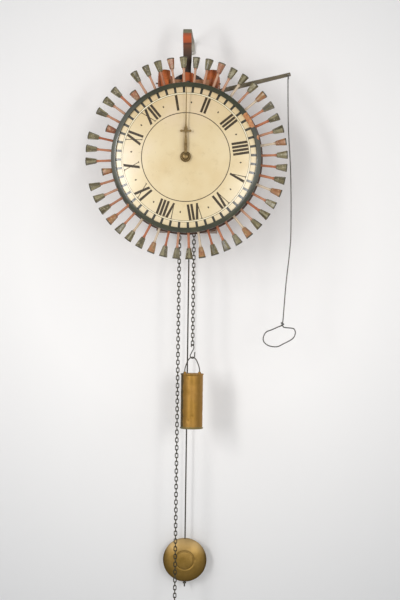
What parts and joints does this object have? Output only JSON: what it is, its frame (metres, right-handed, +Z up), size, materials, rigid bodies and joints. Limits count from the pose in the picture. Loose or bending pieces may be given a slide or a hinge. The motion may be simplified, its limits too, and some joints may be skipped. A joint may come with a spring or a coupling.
{
  "type": "watchmans clock",
  "caption": "Weight-driven night watchman's wall clock: revolving 12-hour dial drum with 48 record pegs, pull lever and wire, posted wooden movement, chain, brass weight, long pendulum.",
  "frame": {"origin": "middle of the nail hole in the hanger, at the wall plane", "axes": "+Z up, +Y into the wall (the dial faces -Y), +X to the right as seen from the front"},
  "size_m": [0.4309, 0.2156, 1.2376],
  "materials": {
    "frame_wood": "satin",
    "pillar_wood": "satin",
    "drum_wood": "satin",
    "board_wood": "satin",
    "arch_wood": "satin",
    "strap_paint": "satin",
    "dark_iron": "satin",
    "grey_iron": "satin",
    "spring_steel": "satin",
    "dial_paint": "gloss",
    "ring_paint": "gloss",
    "train_brass": "satin",
    "hand_brass": "satin",
    "weight_brass": "satin",
    "bob_brass": "satin",
    "lead_fill": "matt",
    "hour_peg_paint": "satin",
    "quarter_peg_paint": "satin",
    "chain_iron": "satin"
  },
  "bodies": {
    "frame": {"top_plate": "frame_wood", "bottom_plate": "frame_wood", "pillars": "pillar_wood", "front_bar": "frame_wood", "rear_bar": "frame_wood", "arch_board": "arch_wood", "hanger_strap": "strap_paint", "frame_pins": "dark_iron", "wall_spurs": "dark_iron", "dial_stud": "dark_iron", "hand": "hand_brass", "hand_pin": "hand_brass", "lever_bracket": "dark_iron", "suspension_cock": "dark_iron"},
    "dial_train": {"dial_wheel": "train_brass", "friction_spring": "train_brass"},
    "drum": {"dial_face": "dial_paint", "front_ring": "ring_paint", "drum_shell": "drum_wood", "back_flange": "drum_wood", "drum_board": "board_wood", "guide_ring": "board_wood", "drum_hub": "train_brass", "quarter_pegs": "quarter_peg_paint"},
    "great": {"great_wheel": "train_brass"},
    "second": {"second_wheel": "train_brass"},
    "escape": {"escape_wheel": "train_brass"},
    "pulley": {"chain_pulley": "train_brass", "click_spring": "spring_steel", "chain_over_pulley": "chain_iron"},
    "weight_chain": {"chain_weight_side": "chain_iron", "s_hook": "dark_iron"},
    "weight": {"weight_bail": "dark_iron", "weight_shell": "weight_brass", "weight_lid": "weight_brass", "weight_lead": "lead_fill"},
    "free_chain": {"chain_free_side": "chain_iron"},
    "end_ring": {"chain_end_ring": "chain_iron"},
    "anchor": {"pallets": "dark_iron", "crutch": "dark_iron"},
    "pendulum": {"suspension_spring": "spring_steel", "pendulum_rod": "dark_iron"},
    "bob": {"pendulum_bob": "bob_brass"},
    "nut": {"rating_nut": "bob_brass"},
    "lever": {"pull_lever": "grey_iron", "presser_spring": "spring_steel"},
    "wire": {"pull_wire": "dark_iron"},
    "top_peg": {"peg_now": "quarter_peg_paint"},
    "peg_1": {"hour_peg_1": "hour_peg_paint"},
    "peg_2": {"hour_peg_2": "hour_peg_paint"},
    "peg_3": {"hour_peg_3": "hour_peg_paint"},
    "peg_4": {"hour_peg_4": "hour_peg_paint"},
    "peg_5": {"hour_peg_5": "hour_peg_paint"},
    "peg_6": {"hour_peg_6": "hour_peg_paint"},
    "peg_7": {"hour_peg_7": "hour_peg_paint"},
    "peg_8": {"hour_peg_8": "hour_peg_paint"},
    "peg_9": {"hour_peg_9": "hour_peg_paint"},
    "peg_10": {"hour_peg_10": "hour_peg_paint"},
    "peg_11": {"hour_peg_11": "hour_peg_paint"},
    "peg_12": {"hour_peg_12": "hour_peg_paint"}
  },
  "joints": [
    {"name": "train_turn", "type": "hinge", "parent": "frame", "child": "great", "pos_m": [0, -0.12, -0.302], "axis": [0, -1, 0], "continuous": true, "deforming": ["click_spring"]},
    {"name": "second_turn", "type": "hinge", "parent": "frame", "child": "second", "pos_m": [0, -0.12, -0.234], "axis": [0, -1, 0], "continuous": true},
    {"name": "escape_turn", "type": "hinge", "parent": "frame", "child": "escape", "pos_m": [0, -0.12, -0.1764], "axis": [0, -1, 0], "continuous": true},
    {"name": "dial_wheel_turn", "type": "hinge", "parent": "frame", "child": "dial_train", "pos_m": [0, -0.15, -0.25], "axis": [0, -1, 0], "continuous": true},
    {"name": "dial_set", "type": "hinge", "parent": "dial_train", "child": "drum", "pos_m": [0, -0.165, -0.25], "axis": [0, -1, 0], "continuous": true},
    {"name": "weight_travel", "type": "slide", "parent": "frame", "child": "weight_chain", "axis": [0, 0, 1], "range_m": [-0.09, 0.12], "deforming": ["click_spring", "chain_over_pulley"]},
    {"name": "free_chain_travel", "type": "slide", "parent": "frame", "child": "free_chain", "axis": [0, 0, 1], "range_m": [-0.12, 0.09]},
    {"name": "pulley_turn", "type": "hinge", "parent": "frame", "child": "pulley", "pos_m": [0, -0.12, -0.302], "axis": [0, -1, 0], "range_deg": [-420, 460]},
    {"name": "weight_swing", "type": "hinge", "parent": "weight_chain", "child": "weight", "pos_m": [0.01526, -0.12, -0.66495], "axis": [1, 0, 0], "range_deg": [-12, 12]},
    {"name": "end_ring_swing", "type": "hinge", "parent": "free_chain", "child": "end_ring", "pos_m": [-0.01526, -0.12, -1.1969], "axis": [0, -1, 0], "range_deg": [-30, 30]},
    {"name": "pendulum_swing", "type": "hinge", "parent": "frame", "child": "pendulum", "pos_m": [0, -0.026, -0.079], "axis": [0, -1, 0], "range_deg": [-3, 3], "deforming": ["suspension_spring"]},
    {"name": "anchor_rock", "type": "hinge", "parent": "frame", "child": "anchor", "pos_m": [0, -0.12, -0.1344], "axis": [0, -1, 0], "range_deg": [-4.35, 4.35]},
    {"name": "bob_rating", "type": "slide", "parent": "pendulum", "child": "bob", "axis": [0, 0, 1], "range_m": [-0.006, 0.008]},
    {"name": "nut_turn", "type": "hinge", "parent": "bob", "child": "nut", "pos_m": [0, -0.026, -1.156], "axis": [0, 0, 1], "continuous": true},
    {"name": "lever_pull", "type": "hinge", "parent": "frame", "child": "lever", "pos_m": [-0.048, -0.1533, -0.13562], "axis": [0, 1, 0], "range_deg": [0, 37], "stiffness_Nm_per_rad": 0.4, "springref_deg": -91.67, "deforming": ["presser_spring"]},
    {"name": "wire_swing", "type": "hinge", "parent": "lever", "child": "wire", "pos_m": [0.209, -0.1533, -0.0725], "axis": [0, 1, 0], "range_deg": [-45, 8]},
    {"name": "peg_1_slide", "type": "slide", "parent": "drum", "child": "peg_1", "axis": [-0.1719, 0, 0.9851], "range_m": [-0.032, 0]},
    {"name": "peg_2_slide", "type": "slide", "parent": "drum", "child": "peg_2", "axis": [0.3437, 0, 0.9391], "range_m": [-0.032, 0]},
    {"name": "peg_3_slide", "type": "slide", "parent": "drum", "child": "peg_3", "axis": [0.7672, 0, 0.6414], "range_m": [-0.032, 0]},
    {"name": "peg_4_slide", "type": "slide", "parent": "drum", "child": "peg_4", "axis": [0.9851, 0, 0.1719], "range_m": [-0.032, 0]},
    {"name": "peg_5_slide", "type": "slide", "parent": "drum", "child": "peg_5", "axis": [0.9391, 0, -0.3437], "range_m": [-0.032, 0]},
    {"name": "peg_6_slide", "type": "slide", "parent": "drum", "child": "peg_6", "axis": [0.6414, 0, -0.7672], "range_m": [-0.032, 0]},
    {"name": "peg_7_slide", "type": "slide", "parent": "drum", "child": "peg_7", "axis": [0.1719, 0, -0.9851], "range_m": [-0.032, 0]},
    {"name": "peg_8_slide", "type": "slide", "parent": "drum", "child": "peg_8", "axis": [-0.3437, 0, -0.9391], "range_m": [-0.032, 0]},
    {"name": "peg_9_slide", "type": "slide", "parent": "drum", "child": "peg_9", "axis": [-0.7672, 0, -0.6414], "range_m": [-0.032, 0]},
    {"name": "peg_10_slide", "type": "slide", "parent": "drum", "child": "peg_10", "axis": [-0.9851, 0, -0.1719], "range_m": [0, 0.032]},
    {"name": "peg_11_slide", "type": "slide", "parent": "drum", "child": "peg_11", "axis": [-0.9391, 0, 0.3437], "range_m": [0, 0.032]},
    {"name": "peg_12_slide", "type": "slide", "parent": "drum", "child": "peg_12", "axis": [-0.6414, 0, 0.7672], "range_m": [0, 0.032]},
    {"name": "top_peg_slide", "type": "slide", "parent": "drum", "child": "top_peg", "axis": [-0.0419, 0, 0.9991], "range_m": [-0.032, 0]}
  ],
  "couplings": [
    {"joint": "second_turn", "follows": "train_turn", "ratio": -7.5},
    {"joint": "escape_turn", "follows": "train_turn", "ratio": 60},
    {"joint": "dial_wheel_turn", "follows": "train_turn", "ratio": -0.083333},
    {"joint": "free_chain_travel", "follows": "weight_travel", "ratio": -1},
    {"joint": "pulley_turn", "follows": "weight_travel", "rad_per_m": 63.854},
    {"joint": "anchor_rock", "follows": "pendulum_swing", "ratio": 1.4411},
    {"joint": "top_peg_slide", "follows": "lever_pull", "m_per_rad": -0.049553}
  ]
}
